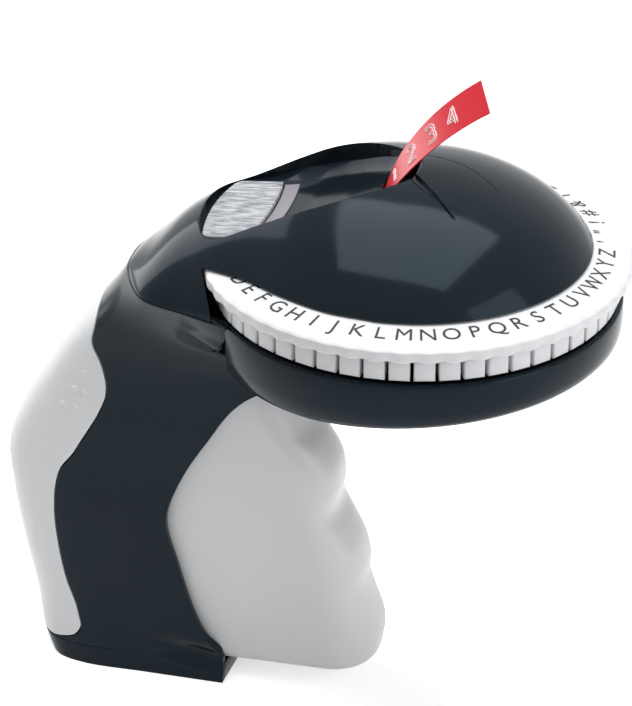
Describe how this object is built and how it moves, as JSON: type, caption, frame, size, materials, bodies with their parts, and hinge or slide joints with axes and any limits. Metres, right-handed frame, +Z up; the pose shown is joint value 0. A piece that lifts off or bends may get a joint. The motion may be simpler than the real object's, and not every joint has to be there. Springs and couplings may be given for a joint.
{
  "type": "label maker",
  "caption": "Hand-held embossing label maker: squeeze-trigger pistol handle, turning character dial over a punch wheel, domed cover, rear tape door and a freshly embossed strip.",
  "frame": {"origin": "on the floor under the middle of the base, in the plane of symmetry", "axes": "+X forward from the handle to the dial head, +Y to the left, +Z up along the dial's axis"},
  "size_m": [0.1594, 0.106, 0.167],
  "materials": {
    "black_shell": "moulded, polished",
    "white_shell": "moulded, satin",
    "black_band": "moulded",
    "nylon": "natural nylon",
    "steel": "plated",
    "spring_steel": "plain",
    "rubber": "matt",
    "red_tape": "glossy vinyl",
    "lens": "clear moulded plastic"
  },
  "bodies": {
    "frame": {"handle_left": "black_shell", "handle_right": "black_shell", "top_cover": "black_shell", "window_lens": "lens", "dial_retainer": "nylon", "cheek_left": "steel", "cheek_right": "steel", "hammer_guide": "nylon", "tape_guide": "nylon", "exit_chute": "nylon", "wheel_axle": "steel", "centre_bolt": "steel", "pinion_axle": "steel", "trigger_pin": "steel", "feed_axle": "steel", "pinch_axle": "steel", "roll_spindle": "nylon", "door_pin": "steel", "handle_screws": "steel", "retainer_screws": "steel", "detent_spring": "spring_steel", "supply_tape": "red_tape", "label_strip": "red_tape", "trigger_spring": "spring_steel", "cutter_spring": "spring_steel"},
    "dial": {"letter_dial": "white_shell", "die_ring": "nylon"},
    "punch": {"punch_wheel": "white_shell"},
    "sync": {"sync_pinion": "nylon"},
    "squeeze": {"trigger": "white_shell", "trigger_lever": "steel", "lever_rivets": "steel"},
    "press": {"hammer": "steel"},
    "feed": {"feed_roller": "rubber", "feed_pinion": "nylon"},
    "pinch": {"pinch_roller": "nylon"},
    "roll": {"tape_roll": "red_tape", "roll_spool": "nylon"},
    "cutter": {"cutter_blade": "steel"},
    "door": {"tape_door": "white_shell"}
  },
  "joints": [
    {"name": "dial_spin", "type": "hinge", "parent": "frame", "child": "dial", "pos_m": [0.072, 0, 0.12], "axis": [0, 0, 1], "continuous": true},
    {"name": "punch_spin", "type": "hinge", "parent": "frame", "child": "punch", "pos_m": [0.072, 0, 0.11], "axis": [0, 0, 1], "continuous": true},
    {"name": "sync_spin", "type": "hinge", "parent": "frame", "child": "sync", "pos_m": [0.108, 0, 0.112], "axis": [0, 0, 1], "continuous": true},
    {"name": "trigger_squeeze", "type": "hinge", "parent": "frame", "child": "squeeze", "pos_m": [0.034, 0, 0.088], "axis": [0, 1, 0], "range_deg": [0, 12], "stiffness_Nm_per_rad": 1.2, "springref_deg": -8.59, "deforming": ["trigger_spring"]},
    {"name": "hammer_lift", "type": "slide", "parent": "frame", "child": "press", "axis": [0, 0, 1], "range_m": [0, 0.00185]},
    {"name": "feed_turn", "type": "hinge", "parent": "frame", "child": "feed", "pos_m": [0.0175, 0, 0.09782], "axis": [0, 1, 0], "range_deg": [-45.6, 0]},
    {"name": "pinch_turn", "type": "hinge", "parent": "frame", "child": "pinch", "pos_m": [0.0085, 0, 0.09782], "axis": [0, 1, 0], "range_deg": [0, 76]},
    {"name": "roll_spin", "type": "hinge", "parent": "frame", "child": "roll", "pos_m": [-0.011, 0, 0.042], "axis": [0, 1, 0], "continuous": true},
    {"name": "cutter_push", "type": "slide", "parent": "frame", "child": "cutter", "axis": [0, 0, 1], "range_m": [0, 0.0016], "stiffness_N_per_m": 300, "springref_m": -0.001, "deforming": ["cutter_spring"]},
    {"name": "door_hinge", "type": "hinge", "parent": "frame", "child": "door", "pos_m": [-0.026, 0, 0.0082], "axis": [0, -1, 0], "range_deg": [0, 70]}
  ],
  "couplings": [
    {"joint": "punch_spin", "follows": "dial_spin", "ratio": 1},
    {"joint": "sync_spin", "follows": "dial_spin", "ratio": 7},
    {"joint": "hammer_lift", "follows": "trigger_squeeze", "m_per_rad": 0.0088},
    {"joint": "feed_turn", "follows": "trigger_squeeze", "ratio": -3.8},
    {"joint": "pinch_turn", "follows": "trigger_squeeze", "ratio": 6.3333}
  ]
}
